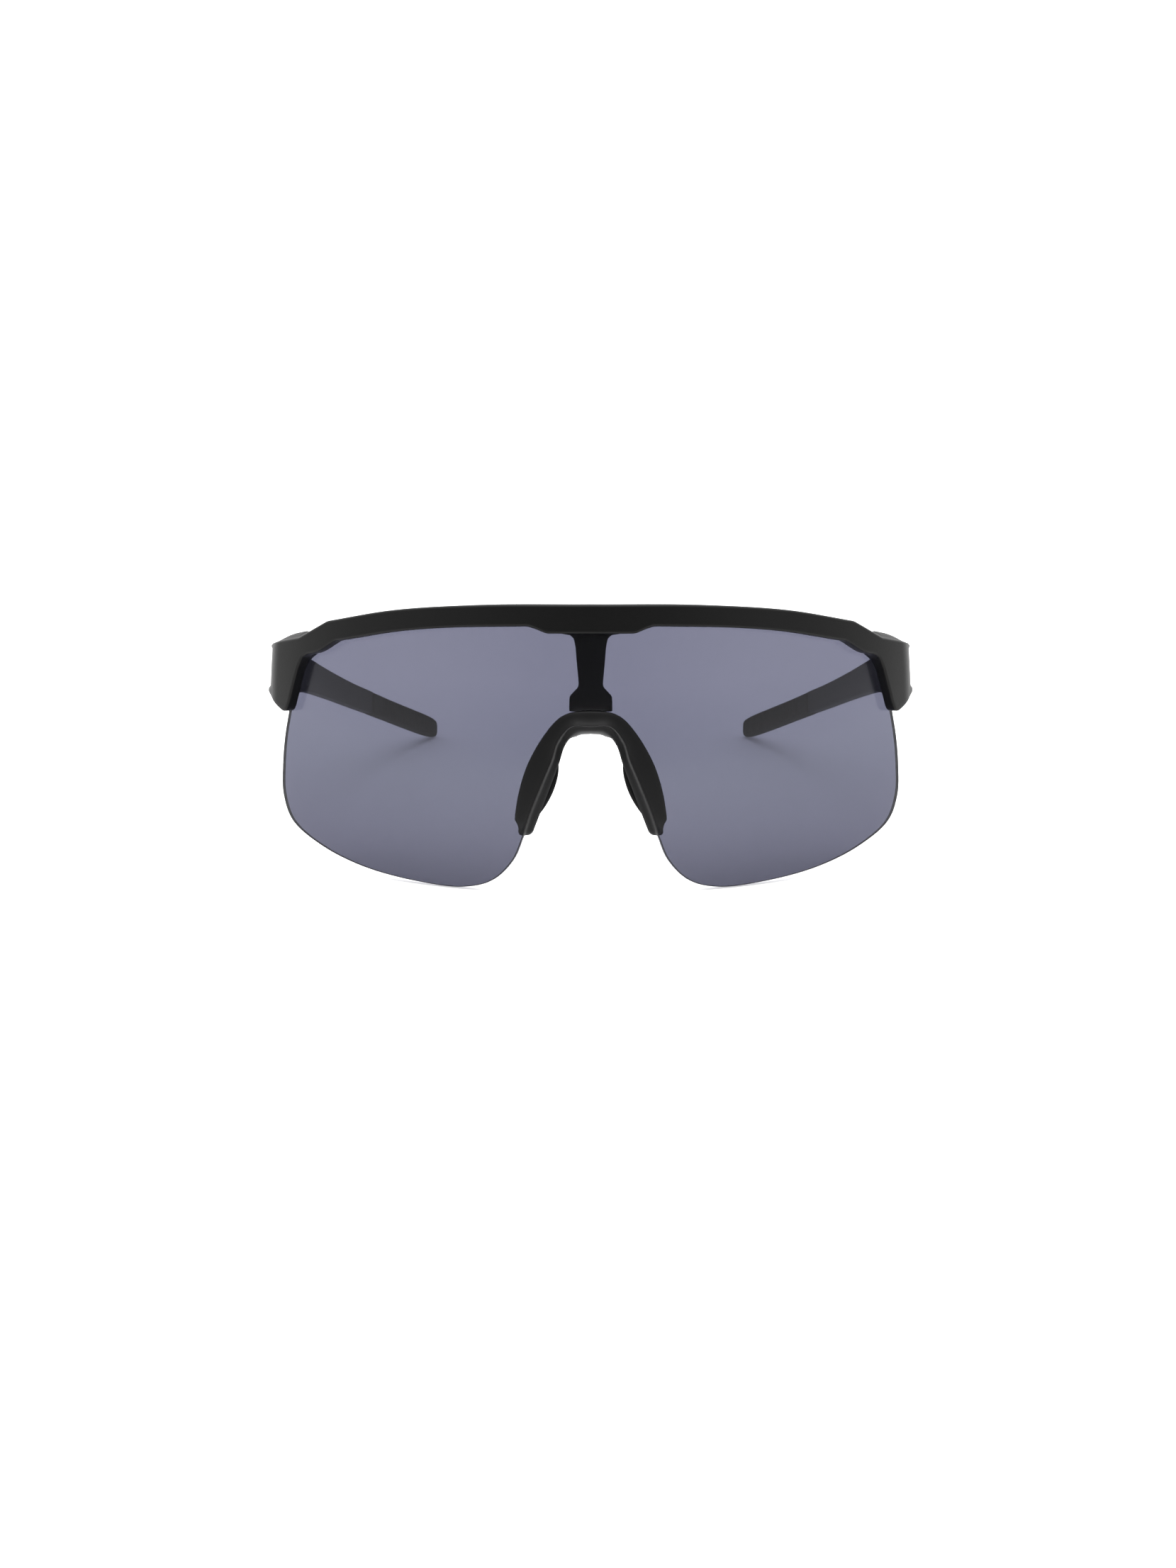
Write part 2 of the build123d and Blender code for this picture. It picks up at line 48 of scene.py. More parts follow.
# ---- the shared frame
joints = {j["name"]: j for j in frame["joints"]}
fold = joints["temple_fold_left"]
HINGE = np.array([69.5, 38.0, 47.0])
DROP = math.radians(11.4)  # slope of the temples against the upright front
LEAN = math.atan2(fold["axis"][1], fold["axis"][2]) - DROP
pin = np.array(fold["pos_m"]) / MM


def leaned(points):
    """Points of the upright design, turned back by the lean about the x axis."""
    p = np.asarray(points, float)
    c, s = math.cos(LEAN), math.sin(LEAN)
    return np.stack([p[..., 0], p[..., 1] * c + p[..., 2] * s, p[..., 2] * c - p[..., 1] * s], -1)


SHIFT = pin - leaned(HINGE)


def row(points):
    """Points of the upright design, in millimetres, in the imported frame, in metres."""
    return (leaned(points) + SHIFT) * MM


# ---- the shield's barrel surface
WRAP_R = 95.0
CROWN_R = 200.0
CROWN_Z = 33.0
LENS_T = 2.0
FIT = 0.1


def radius(z, t=0.0):
    """Distance from the upright wrap axis at height z, t ahead of the lens's outer face."""
    return WRAP_R - CROWN_R + np.sqrt((CROWN_R + t) ** 2 - (z - CROWN_Z) ** 2)


def on_shell(x, z, t):
    """The point t ahead of the lens, on the line square to it at the front-view position x, z."""
    turn = np.arcsin(x / radius(z))
    r = radius(z, t)
    return np.stack([r * np.sin(turn), WRAP_R - r * np.cos(turn), z + 0 * x], -1)


def left_hinge(u, v, w):
    """The point u outside the left hinge's pin, v behind it and w up it, in the upright design."""
    c, s = math.cos(DROP), math.sin(DROP)
    return np.stack([HINGE[0] + u, HINGE[1] + v * c + w * s, HINGE[2] - v * s + w * c], -1)


# ---- curves
def through(points, count=8):
    """A centripetal Catmull-Rom line through points, with count steps between each two."""
    p = np.asarray(points, float)
    p = np.vstack([2 * p[0] - p[1], p, 2 * p[-1] - p[-2]])
    out = []
    for a, b, c, d in zip(p, p[1:], p[2:], p[3:]):
        ta = np.linalg.norm(b - a) ** 0.5
        tb = ta + np.linalg.norm(c - b) ** 0.5
        tc = tb + np.linalg.norm(d - c) ** 0.5
        for t in np.linspace(ta, tb, count, endpoint=False):
            e = (ta - t) / ta * a + t / ta * b
            f = (tb - t) / (tb - ta) * b + (t - ta) / (tb - ta) * c
            g = (tc - t) / (tc - tb) * c + (t - tb) / (tc - tb) * d
            h = (tb - t) / tb * e + t / tb * f
            k = (tc - t) / (tc - ta) * f + (t - ta) / (tc - ta) * g
            out.append((tb - t) / (tb - ta) * h + (t - ta) / (tb - ta) * k)
    out.append(p[-2])
    return np.array(out)


def even(line, step, closed=False):
    """The same line with points step apart, or a little less."""
    p = np.vstack([line, line[:1]]) if closed else np.asarray(line, float)
    length = np.concatenate([[0], np.cumsum(np.linalg.norm(np.diff(p, axis=0), axis=1))])
    count = max(4, int(math.ceil(length[-1] / step)))
    at = np.linspace(0, length[-1], count + 1)
    out = np.stack([np.interp(at, length, p[:, k]) for k in range(p.shape[1])], -1)
    return out[:-1] if closed else out


def soften(line, width, step, closed=False):
    """The line with its corners rounded over about width."""
    fine = even(line, 0.1, closed)
    half = max(1, int(width / 0.2))
    kernel = np.hanning(2 * half + 3)[1:-1]
    kernel /= kernel.sum()
    if closed:
        padded = np.vstack([fine[-half:], fine, fine[:half]])
    else:
        before = 2 * fine[0] - fine[1:half + 1][::-1]
        after = 2 * fine[-1] - fine[-half - 1:-1][::-1]
        padded = np.vstack([before, fine, after])
    smooth = np.stack([np.convolve(padded[:, k], kernel, "valid") for k in range(fine.shape[1])], -1)
    return even(smooth, step, closed)


def both_sides(right_half):
    """A closed outline from its right half, which runs from the middle round to the middle again."""
    p = np.asarray(right_half, float)
    left = p[::-1] * (-1, 1)
    return np.vstack([p, left[1:-1]])


def area(outline):
    x, z = outline[:, 0], outline[:, 1]
    return 0.5 * np.sum(x * np.roll(z, -1) - np.roll(x, -1) * z)


def inset(outline, by):
    """The outline moved inwards, for one that runs anticlockwise."""
    ahead = np.roll(outline, -1, 0) - outline
    ahead /= np.linalg.norm(ahead, axis=1)[:, None]
    behind = np.roll(ahead, 1, 0)
    normal = np.stack([-(ahead + behind)[:, 1], (ahead + behind)[:, 0]], -1)
    normal /= np.linalg.norm(normal, axis=1)[:, None]
    return outline + normal * by


# ---- meshes
def fresh(name, points, faces, sharp=35.0):
    """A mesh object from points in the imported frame."""
    mesh = bpy.data.meshes.new(name)
    mesh.from_pydata([tuple(p) for p in points], [], [list(f) for f in faces])
    mesh.validate()
    mesh.shade_smooth()
    mesh.set_sharp_from_angle(angle=math.radians(sharp))
    mesh.update()
    piece = bpy.data.objects.new(name, mesh)
    bpy.context.scene.collection.objects.link(piece)
    return piece


class Shape:
    """Points and faces that become one piece."""

    def __init__(self):
        self.points = []
        self.faces = []
        self.mark = []

    def add(self, points, faces, mark=0):
        first = len(self.points)
        self.points += [tuple(p) for p in points]
        self.faces += [[first + i for i in f] for f in faces]
        self.mark += [mark] * len(faces)
        return first

    def mirrored(self):
        """The same shape on the other side of the face."""
        other = Shape()
        other.points = [(-x, y, z) for x, y, z in self.points]
        other.faces = [f[::-1] for f in self.faces]
        other.mark = list(self.mark)
        return other

    def join(self, other):
        self.add(other.points, other.faces)
        self.mark[-len(other.mark):] = other.mark

    def piece(self, name, sharp=35.0):
        return fresh(name, row(np.array(self.points)), self.faces, sharp)


def filled(outline, step):
    """Points and triangles that fill an outline, with its own points first."""
    low, high = outline.min(0), outline.max(0)
    xs = np.arange(low[0] + step / 2, high[0], step)
    zs = np.arange(low[1] + step / 2, high[1], step)
    grid = np.array([(x, z) for x in xs for z in zs])
    inside = np.zeros(len(grid), bool)
    a, b = outline, np.roll(outline, -1, 0)
    for (x0, z0), (x1, z1) in zip(a, b):
        crosses = (z0 > grid[:, 1]) != (z1 > grid[:, 1])
        if z1 != z0:
            inside ^= crosses & (grid[:, 0] < (x1 - x0) * (grid[:, 1] - z0) / (z1 - z0) + x0)
    grid = grid[inside]
    gap = np.full(len(grid), np.inf)
    for p in outline:
        gap = np.minimum(gap, np.hypot(*(grid - p).T))
    grid = grid[gap > 0.6 * step]
    points = [Vector(p) for p in np.vstack([outline, grid])]
    n = len(outline)
    made = delaunay_2d_cdt(points, [], [list(range(n))], 1, 1e-7)
    kept = {source[0]: k for k, source in enumerate(made[3]) if source}
    order = [kept[i] for i in range(n)]
    rest = [k for k in range(len(made[0])) if k not in set(order)]
    place = {old: new for new, old in enumerate(order + rest)}
    flat = np.array([tuple(made[0][k]) for k in order + rest])
    return flat, [[place[k] for k in f] for f in made[2]]


EDGE_STEPS = 4


def plate(shape, outline, front, back, surface, edge, step, rim=0.0, front_mark=0):
    """A plate between the depths front and back of a surface, with rounded edges.

    With a rim, the front's rounded edge and that much of the wall behind it are marked 1. The flat front
    gets front_mark.
    """
    if area(outline) < 0:
        outline = outline[::-1]
    flat, tris = filled(inset(outline, edge), step)
    n = len(outline)
    rings = []
    quarter = np.linspace(0, math.pi / 2, EDGE_STEPS + 1)
    for depth, sign, turns in ((front, -1, quarter), (back, 1, quarter[::-1])):
        for turn in turns:
            ring = inset(outline, edge * (1 - math.sin(turn)))
            t = depth + 0 * ring[:, 0] + sign * edge * (1 - math.cos(turn))
            rings.append(surface(ring[:, 0], ring[:, 1], t))
        if rim and sign < 0:
            rings.append(surface(ring[:, 0], ring[:, 1], t - rim))
    first = shape.add(surface(flat[:, 0], flat[:, 1], front + 0 * flat[:, 0]), tris, front_mark)
    last = shape.add(surface(flat[:, 0], flat[:, 1], back + 0 * flat[:, 0]), [f[::-1] for f in tris])
    starts = [first] + [shape.add(ring, []) for ring in rings[1:-1]] + [last]
    for k, (a, b) in enumerate(zip(starts, starts[1:])):
        for i in range(n):
            j = (i + 1) % n
            shape.faces.append([a + j, a + i, b + i, b + j])
            shape.mark.append(1 if rim and k <= EDGE_STEPS else 0)


def tube(shape, loops):
    """A closed skin over loops of the same number of points."""
    loops = np.asarray(loops)
    m, k = loops.shape[:2]
    first = shape.add(loops.reshape(-1, 3), [])
    around = [(i, (i + 1) % k) for i in range(k)]
    for a in range(m - 1):
        here, ahead = first + a * k, first + (a + 1) * k
        for i, j in around:
            shape.faces.append([here + i, here + j, ahead + j, ahead + i])
            shape.mark.append(0)
    for a, flip in ((0, False), (m - 1, True)):
        centre = shape.add([loops[a].mean(0)], [])
        for i, j in around:
            face = [first + a * k + j, first + a * k + i, centre]
            shape.faces.append(face[::-1] if flip else face)
            shape.mark.append(0)


def both_ways(loops):
    """Loops from the middle outwards, and their mirror images before them."""
    loops = np.array(loops)
    return np.concatenate([loops[:0:-1] * (-1, 1, 1), loops])


def facing_out(piece):
    """Turns a piece's faces outwards."""
    work = bmesh.new()
    work.from_mesh(piece.data)
    bmesh.ops.recalc_face_normals(work, faces=work.faces)
    work.to_mesh(piece.data)
    work.free()


def ease(x, low, high):
    """From 0 at low to 1 at high, smoothly."""
    s = np.clip((x - low) / (high - low), 0, 1)
    return s * s * (3 - 2 * s)


# ---- the lens
BROW_WALL = 2.3  # how far below the brow's top the lens ends
LENS_ROUND = 0.22
LENS_RIM = 0.7


def lens_half():
    """The lens's outline on one side, from the top's middle round to the notch's."""
    top = through([(x, z - BROW_WALL) for x, z in ((0, 62.6), (24.3, 62.4), (43.1, 61.1), (56.6, 58.75))])
    side = through([(68.6, 38.0), (69.8, 31.9), (70.5, 25.3), (70.5, 18.7), (68.3, 12.9), (61.1, 7.9),
                    (50.7, 3.95), (37.5, 1.5), (27.9, 0.93), (21.6, 2.6), (16.9, 7.3), (14.46, 13.0)])
    notch = through([(14.46, 13.0), (14.3, 19.0), (13.1, 24.6), (10.6, 30.8), (7.4, 35.6), (4.0, 38.4)])
    corner = [(62.9, 53.6), (67.2, 52.0), (68.2, 50.5), (68.4, 44.0)]
    return np.vstack([top, corner, side, notch[1:], [(0, 38.7)]])


lens_line = soften(both_sides(lens_half()), 1.0, 0.7, closed=True)
lens_shape = Shape()
plate(lens_shape, lens_line, 0.0, -LENS_T, on_shell, edge=LENS_ROUND, step=1.8, rim=LENS_RIM)

# ---- the brow frame: upright sections side by side along the wrap, from the middle round to the hinge
RIM_FRONT = 2.6
RIM_BACK = -3.6
LOW_ROUND, TOP_ROUND, REAR_ROUND = 0.45, 0.6, 0.5  # edges of the brow: front's foot, top, and back's foot
CORNER_R = 8.2
CORNER = math.radians(46.84)
ROUND = 97.6  # distance along the wrap is measured at this radius
CORNER_START = ROUND * CORNER
CORNER_END = CORNER_START + CORNER_R * (math.pi / 2 - CORNER)
END = CORNER_END + 2.0


def on_path(a, z, t):
    """The point at distance a along the wrap, at height z, t ahead of the lens's outer face."""
    a, z, t = np.broadcast_arrays(np.asarray(a, float), z, t)
    face = radius(z, RIM_FRONT)
    out = t - RIM_FRONT
    turn = a / ROUND
    wrap = np.stack([(face + out) * np.sin(turn), WRAP_R - (face + out) * np.cos(turn), z], -1)
    centre = np.stack([(face - CORNER_R) * math.sin(CORNER),
                       WRAP_R - (face - CORNER_R) * math.cos(CORNER), z], -1)
    turn = np.clip(CORNER + (a - CORNER_START) / CORNER_R, CORNER, math.pi / 2)
    reach = CORNER_R + out
    bend = centre + np.stack([reach * np.sin(turn), -reach * np.cos(turn), 0 * z], -1)
    bend[..., 1] += np.clip(a - CORNER_END, 0, None)
    return np.where((a < CORNER_START)[..., None], wrap, bend)


def along(points, t=RIM_FRONT):
    """Front-view points as distance along the wrap and height."""
    p = np.asarray(points, float)
    return np.stack([ROUND * np.arcsin(p[:, 0] / radius(p[:, 1], t)), p[:, 1]], -1)


# the brow's top, the lower edges of its front and of its back, and the roof of the groove for the lens
top_line = np.vstack([
    along(through([(0, 62.6), (24.3, 62.45), (43.1, 61.25), (58.6, 58.65)])),
    along([(64.0, 55.7), (65.7, 54.8)]),
    [(82.1, 53.6), (CORNER_END, 53.0), (END, 52.75)],
])
front_line = np.vstack([
    along([(0, 56.4), (9.5, 56.4), (11.3, 57.2), (13.0, 57.9)]),
    along(through([(13.6, 58.0), (30.4, 57.6), (43.1, 56.5), (54.6, 54.6)])),
    along([(56.6, 54.3), (59.3, 52.65), (60.6, 51.9), (61.9, 51.4), (63.6, 51.1), (64.7, 50.4), (65.8, 48.0),
           (66.9, 44.3), (68.0, 40.4), (68.7, 38.5), (69.6, 38.0), (70.7, 38.7)]),
    [(81.9, 40.2), (84.0, 41.5), (CORNER_END, 42.2), (END, 42.2)],
])
back_line = np.vstack([
    along([(0, 56.3), (9.5, 56.3), (11.3, 57.1), (13.0, 57.7)], RIM_BACK),
    along(through([(13.6, 57.8), (30.4, 57.4), (43.1, 56.3), (54.6, 54.6)]), RIM_BACK),
    along([(57.3, 53.5), (59.2, 52.2), (61.2, 51.2), (63.1, 49.7), (64.7, 46.9), (65.9, 42.4), (66.7, 39.0),
           (67.4, 38.3)], RIM_BACK),
    [(82.2, 38.7), (84.0, 40.2), (CORNER_END, 41.6), (END, 42.0)],
])
groove_line = along(np.vstack([through([(0, 60.4), (24.3, 60.2), (43.1, 58.9), (56.6, 56.55)]),
                               [(62.9, 53.7), (67.2, 52.1), (68.3, 50.6)]]), 0.0)
top_line = soften(top_line, 1.3, 0.3)
front_line = soften(front_line, 1.6, 0.55)
back_line = soften(back_line, 1.6, 0.3)
GROOVE_END = ROUND * math.asin(68.6 / 94.9)
STATION_GAP = 0.12

stations = [front_line[0, 0]]
for a in front_line[1:, 0]:
    if a - stations[-1] > STATION_GAP:
        stations.append(a)
stations = np.array(stations)
steep = np.gradient(np.interp(stations, *front_line.T), stations)


def brow_loop(a, slope):
    """One upright section of the brow: depth and height round its outline."""
    top = np.interp(a, *top_line.T)
    low = np.interp(a, *front_line.T)
    rear = np.interp(a, *back_line.T)
    groove = max(np.interp(a, *groove_line.T), low, rear) if a < GROOVE_END else max(low, rear) + 0.02
    behind = RIM_BACK + 1.25 * ease(a, 74, 86)  # the end pieces are thinner
    rise = min(LOW_ROUND * math.hypot(1, slope), 0.3 * (top - low))
    dome = 1.45 * ease(a, 70.5, 74) * (1 - ease(a, 76, 87))  # the crown of the end piece
    quarter = np.linspace(0, math.pi / 2, 5)
    loop = []
    for s in quarter:
        loop.append((RIM_FRONT - LOW_ROUND * (1 - math.sin(s)), low + rise * (1 - math.cos(s))))
    for s in np.linspace(0, 1, 19)[1:-1]:
        loop.append((RIM_FRONT, low + rise + s * (top - TOP_ROUND - low - rise)))
    for s in quarter:
        loop.append((RIM_FRONT - TOP_ROUND * (1 - math.cos(s)), top - TOP_ROUND * (1 - math.sin(s))))
    deep = RIM_FRONT - TOP_ROUND - (behind + TOP_ROUND)
    for s in np.linspace(0, 1, 9)[1:-1]:
        loop.append((RIM_FRONT - TOP_ROUND - s * deep, top + dome * math.sin(math.pi * s)))
    for s in quarter:
        loop.append((behind + TOP_ROUND * (1 - math.sin(s)), top - TOP_ROUND * (1 - math.cos(s))))
    start, stop = top - TOP_ROUND, rear + REAR_ROUND
    for s in np.linspace(0, 1, 9)[1:-1]:
        loop.append((behind, start + s * (stop - start)))
    for s in np.linspace(0, math.pi / 2, 4):
        loop.append((behind + REAR_ROUND * (1 - math.cos(s)), rear + REAR_ROUND * (1 - math.sin(s))))
    loop += [(-LENS_T - FIT, rear + s * (groove - rear)) for s in (0.0, 0.5, 1.0)]
    loop += [(FIT, groove + s * (low - groove)) for s in (0.0, 0.5, 1.0)]
    loop.append(((FIT + RIM_FRONT - LOW_ROUND) / 2, low))
    loop = np.array(loop)
    # low ledges along the end piece's top and foot, on its front only
    height = loop[:, 1]
    ledge = ease(a, 82.5, 86.0) * (0.3 * ease(height, 51.9, 52.5) + 0.5 * (1 - ease(height, 42.9, 43.6)))
    loop[:, 0] += ledge * ease(loop[:, 0], 0.5, 2.0)
    return loop


sections = []
for a, slope in zip(stations, steep):
    loop = brow_loop(a, slope)
    sections.append(on_path(a, loop[:, 1], loop[:, 0]))
brow_shape = Shape()
tube(brow_shape, both_ways(sections))

# the bar behind the lens; its front face and front edge get a lighter copy of the frame's nylon, which is
# painted light
BAR_BACK = -4.6
bar_half = [(0, 59.0), (6.5, 59.0), (6.5, 56.2), (4.6, 56.0), (3.75, 55.2), (3.35, 53.2), (3.2, 51.2),
            (2.68, 45.6), (2.83, 44.8), (4.7, 42.9), (4.8, 39.6), (0, 39.6)]
bar_line = soften(both_sides(bar_half), 0.8, 0.5, closed=True)
plate(brow_shape, bar_line, -LENS_T - FIT, BAR_BACK, on_shell, edge=0.35, step=1.0, rim=0.3, front_mark=1)

# the hinge lugs, with a thin skin outside them
LUG_R = 2.15
LUG_OUT = 2.9  # the lugs' outer side, from the pin
LUG_TOP, LUG_FOOT = 5.2, 2.6  # heights of each lug's two faces from the middle of the hinge
LUG_START = -6.0  # inside the end piece
turns = np.linspace(math.pi / 2, math.pi, 13)
lug_line = np.array([(-LUG_R, LUG_START), (LUG_OUT, LUG_START), (LUG_OUT, LUG_R)]
                    + [(LUG_R * math.cos(t), LUG_R * math.sin(t)) for t in turns])
lug_line = soften(lug_line, 0.3, 0.3, closed=True)
lugs = Shape()
plate(lugs, lug_line, LUG_TOP, LUG_FOOT, left_hinge, edge=0.25, step=0.8)
plate(lugs, lug_line, -LUG_FOOT, -LUG_TOP, left_hinge, edge=0.25, step=0.8)
skin = soften(np.array([(2.3, LUG_START), (3.0, LUG_START), (3.0, 0.0), (2.3, 0.0)]), 0.2, 0.2, closed=True)
plate(lugs, skin, LUG_TOP, -LUG_TOP, left_hinge, edge=0.15, step=0.8)
brow_shape.join(lugs)
brow_shape.join(lugs.mirrored())

# ---- the nosepiece: a roof-shaped front rim, and a deep wall along the nose arch
arch = through([(0, 35.2), (3.0, 34.9), (5.3, 32.4), (6.7, 28.3), (10.4, 18.5), (12.1, 14.2)])
outer = through([(0, 39.9), (2.5, 39.8), (4.6, 39.45), (6.9, 38.2), (10.1, 34.4), (13.5, 28.2), (15.4, 22.1),
                 (16.2, 17.4)])
outer = np.vstack([outer, [(16.25, 16.2), (15.8, 15.5), (15.6, 14.9), (15.5, 14.3)]])
crest = through([(0, 36.8), (4.0, 36.7), (7.0, 33.4), (8.2, 29.55), (10.3, 24.4), (12.8, 18.0), (14.0, 14.2)])
ARCH_COUNT = 64
GENTLE = 0.55  # how much of the gentle side the arms take


def paced(line, count):
    """count points along a line, evenly spaced."""
    length = np.concatenate([[0], np.cumsum(np.linalg.norm(np.diff(line, axis=0), axis=1))])
    at = np.linspace(0, length[-1], count)
    return np.stack([np.interp(at, length, line[:, k]) for k in range(2)], -1)


def nose_loop(inner, ridge, outside):
    """One section across the nosepiece's arm: position between its lines, and depth."""
    arm = 1 - ease(inner[1], 31.8, 35.2)
    low = inner + (inner - ridge) * (0.34 - 1.1 * arm)  # the back of the wall, wider apart than its front

    def between(a, b, s):
        return a + (b - a) * s
    points = [
        (between(outside, ridge, 0.0), 0.15), (between(outside, ridge, -0.02), 0.45),
        (between(outside, ridge, 0.03), 0.75), (between(outside, ridge, 0.12), 0.9),
        (between(outside, ridge, 0.3), 1.1), (between(outside, ridge, 0.5), 1.36),
        (between(outside, ridge, 0.7), 1.68), (between(outside, ridge, 0.84), 1.99),
        (between(outside, ridge, 0.95), 2.33), (between(outside, ridge, 1.0), 2.4),
    ]
    # below its ridge the roof drops steeply over the nose, and gently along the arms
    steep_side = ((0.03, 2.2), (0.05, 1.6), (0.07, 1.0), (0.14, 0.6), (0.4, 0.35), (0.68, 0.0))
    gentle_side = ((0.09, 2.22), (0.18, 1.87), (0.28, 1.42), (0.4, 0.9), (0.55, 0.42), (0.72, -0.08))
    for (s, t), (gentle_s, gentle_t) in zip(steep_side, gentle_side):
        s, t = s + GENTLE * arm * (gentle_s - s), t + GENTLE * arm * (gentle_t - t)
        points.append((between(ridge, inner, s), t))
    points += [
        (between(ridge, inner, 0.88), -0.7), (between(ridge, 0.6 * inner + 0.4 * low, 0.96), -1.5),
        (between(ridge, 0.3 * inner + 0.7 * low, 1.0), -2.6), (between(ridge, low, 1.0), -3.8),
        (between(ridge, low, 0.97), -4.6), (between(ridge, low, 0.8), -4.95),
        (between(ridge, low, 0.4), -5.0), (between(ridge, low, 0.05), -4.95),
        (between(outside, ridge, 0.93), -4.5), (between(outside, ridge, 0.9), -3.5),
        (between(outside, ridge, 0.8), -3.3), (between(outside, ridge, 0.3), -3.3),
        (between(outside, ridge, 0.12), -3.1), (between(outside, ridge, 0.1), -2.15),
        (between(outside, ridge, 0.62), -2.12), (between(outside, ridge, 0.66), -1.0),
        (between(outside, ridge, 0.62), 0.12), (between(outside, ridge, 0.3), 0.13),
    ]
    place = np.array([p for p, t in points])
    depth = np.array([t for p, t in points])
    return on_shell(place[:, 0], place[:, 1], depth)


inner_line, crest_line, outer_line = (paced(line, ARCH_COUNT) for line in (arch, crest, outer))
arm_loops = [nose_loop(a, b, c) for a, b, c in zip(inner_line, crest_line, outer_line)]
end, middle = arm_loops[-1], arm_loops[-1].mean(0)
foot = np.array([0.32, 0.0, -1.4])
for turn in np.linspace(0, math.pi / 2, 7)[1:]:  # the rounded foot
    arm_loops.append(middle + (end - middle) * (0.35 + 0.65 * math.cos(turn)) + math.sin(turn) * foot)
nose_shape = Shape()
tube(nose_shape, both_ways(arm_loops))

# ---- the rubber pads behind the nosepiece
PAD_WIDE, PAD_DEEP = 1.15, 3.6  # half of each
PAD_BACK = 8.6  # of the pad's middle, behind the lens's front
SPLAY = math.tan(math.radians(24.0))
SPLAY_FROM = 8.0
pad_mid = paced(through([(8.4, 31.0), (8.6, 27.0), (9.9, 22.3), (11.9, 17.6), (12.8, 15.7)], 10), 34)
turns = np.linspace(0, 2 * math.pi, 28, endpoint=False)
pad_loops = []
for k, (x, z) in enumerate(pad_mid):
    s = k / (len(pad_mid) - 1)
    full = math.sin(math.pi * s) ** 0.35 if 0 < s < 1 else 0.05
    across = PAD_WIDE * full * np.sign(np.cos(turns)) * np.abs(np.cos(turns)) ** 0.7
    back = PAD_BACK + PAD_DEEP * full * np.sign(np.sin(turns)) * np.abs(np.sin(turns)) ** 0.7
    shift = SPLAY * (back - SPLAY_FROM)
    front = WRAP_R - np.sqrt(WRAP_R ** 2 - x * x)
    pad_loops.append(np.stack([x + across + shift, front + back, z + 0 * back], -1))
pad_shape = Shape()
tube(pad_shape, pad_loops)

# ---- the temples
TEMPLE_R = 420.0
TOE_IN = math.radians(2.8)
INNER_X = -1.2


def inner_face(v):
    """Where the temple's inner face is, v behind the pin: a long arc that starts toed in."""
    toe = np.arcsin(math.sin(TOE_IN) + v / TEMPLE_R)
    return INNER_X - TEMPLE_R * (math.cos(TOE_IN) - np.cos(toe))


def table(rows, column):
    """A smooth function of distance behind the pin, from one column of a table."""
    rows = np.array(rows, float)
    line = through(rows[:, [0, column]], 12)
    return lambda v: np.interp(v, line[:, 0], line[:, 1])


def slab(near, far, top, bottom, edge, across=8, high=7):
    """A rounded rectangle: across and up, starting at the inner face's lower corner."""
    edge = min(edge, 0.45 * (far - near), 0.45 * (top - bottom))
    out = []
    corners = ((near + edge, bottom + edge, math.pi, high), (near + edge, top - edge, math.pi / 2, across),
               (far - edge, top - edge, 0.0, high), (far - edge, bottom + edge, -math.pi / 2, across))
    for (u, w, turn, count), (next_u, next_w, _, _) in zip(corners, corners[1:] + corners[:1]):
        turns = np.linspace(turn + math.pi / 2, turn, 6)
        arc = [(u + edge * math.cos(t), w + edge * math.sin(t)) for t in turns]
        start = np.array(arc[-1])
        end = np.array([next_u + edge * math.cos(turn), next_w + edge * math.sin(turn)])
        out += arc + [tuple(start + s * (end - start)) for s in np.linspace(0, 1, count + 2)[1:-1]]
    return np.array(out)


# distance behind the pin, then the inner and outer faces (plan) or the top and bottom edges (side)
ARM_PLAN = [(-1.5, 0, 4.2), (4, 0, 4.1), (13, 0, 3.5), (26, 0, 3.0), (50, 0, 2.8), (76, 0.1, 2.9),
            (90, 0.1, 3.0)]
ARM_SIDE = [(-1.5, 5.2, -5.2), (4, 5.2, -4.95), (13, 5.3, -3.4), (22, 5.5, -2.3), (44, 5.55, -1.05),
            (60, 5.5, -0.6), (76, 5.55, -0.3), (90, 5.4, -0.2)]
GRIP_PLAN = [(70, -0.1, 3.05), (76, -0.15, 3.1), (90, -0.3, 3.3), (105, -0.35, 3.4), (118, -0.3, 3.3),
             (124, 0.0, 2.9)]
GRIP_SIDE = [(70, 5.6, -0.45), (76, 5.6, -0.45), (90, 5.3, -0.45), (105, 4.95, -0.75), (118, 4.4, -1.1),
             (124, 3.7, -1.1)]
CROWN = 0.22
near_of, far_of = table(ARM_PLAN, 1), table(ARM_PLAN, 2)
top_of, bottom_of = table(ARM_SIDE, 1), table(ARM_SIDE, 2)
grip_near, grip_far = table(GRIP_PLAN, 1), table(GRIP_PLAN, 2)
grip_top, grip_bottom = table(GRIP_SIDE, 1), table(GRIP_SIDE, 2)


def arm_loop(v, shrink):
    base = float(inner_face(v))
    near, far = base + near_of(v) + shrink, base + far_of(v) - shrink
    top, bottom = top_of(v) - shrink, bottom_of(v) + shrink
    outline = slab(near, far, top, bottom, 0.4)
    middle, half = (top + bottom) / 2, (top - bottom) / 2
    across = (outline[:, 0] - near) / (far - near)
    height = (outline[:, 1] - middle) / half
    outline[:, 0] -= CROWN * ease(across, 0.5, 1.0) * height ** 2  # the outer face is crowned
    return left_hinge(outline[:, 0], v + 0 * outline[:, 0], outline[:, 1])


# where each section of the arm is, and how far it is drawn in to round the ends
arm_shape = Shape()
arm_at = [2.42, 2.46, 2.56, 2.72] + list(np.linspace(3.2, 75.3, 66)) + [75.7, 75.88, 75.97, 76.0]
arm_in = [0.4, 0.22, 0.08, 0.0] + [0.0] * 66 + [0.03, 0.1, 0.2, 0.3]
tube(arm_shape, [arm_loop(v, s) for v, s in zip(arm_at, arm_in)])
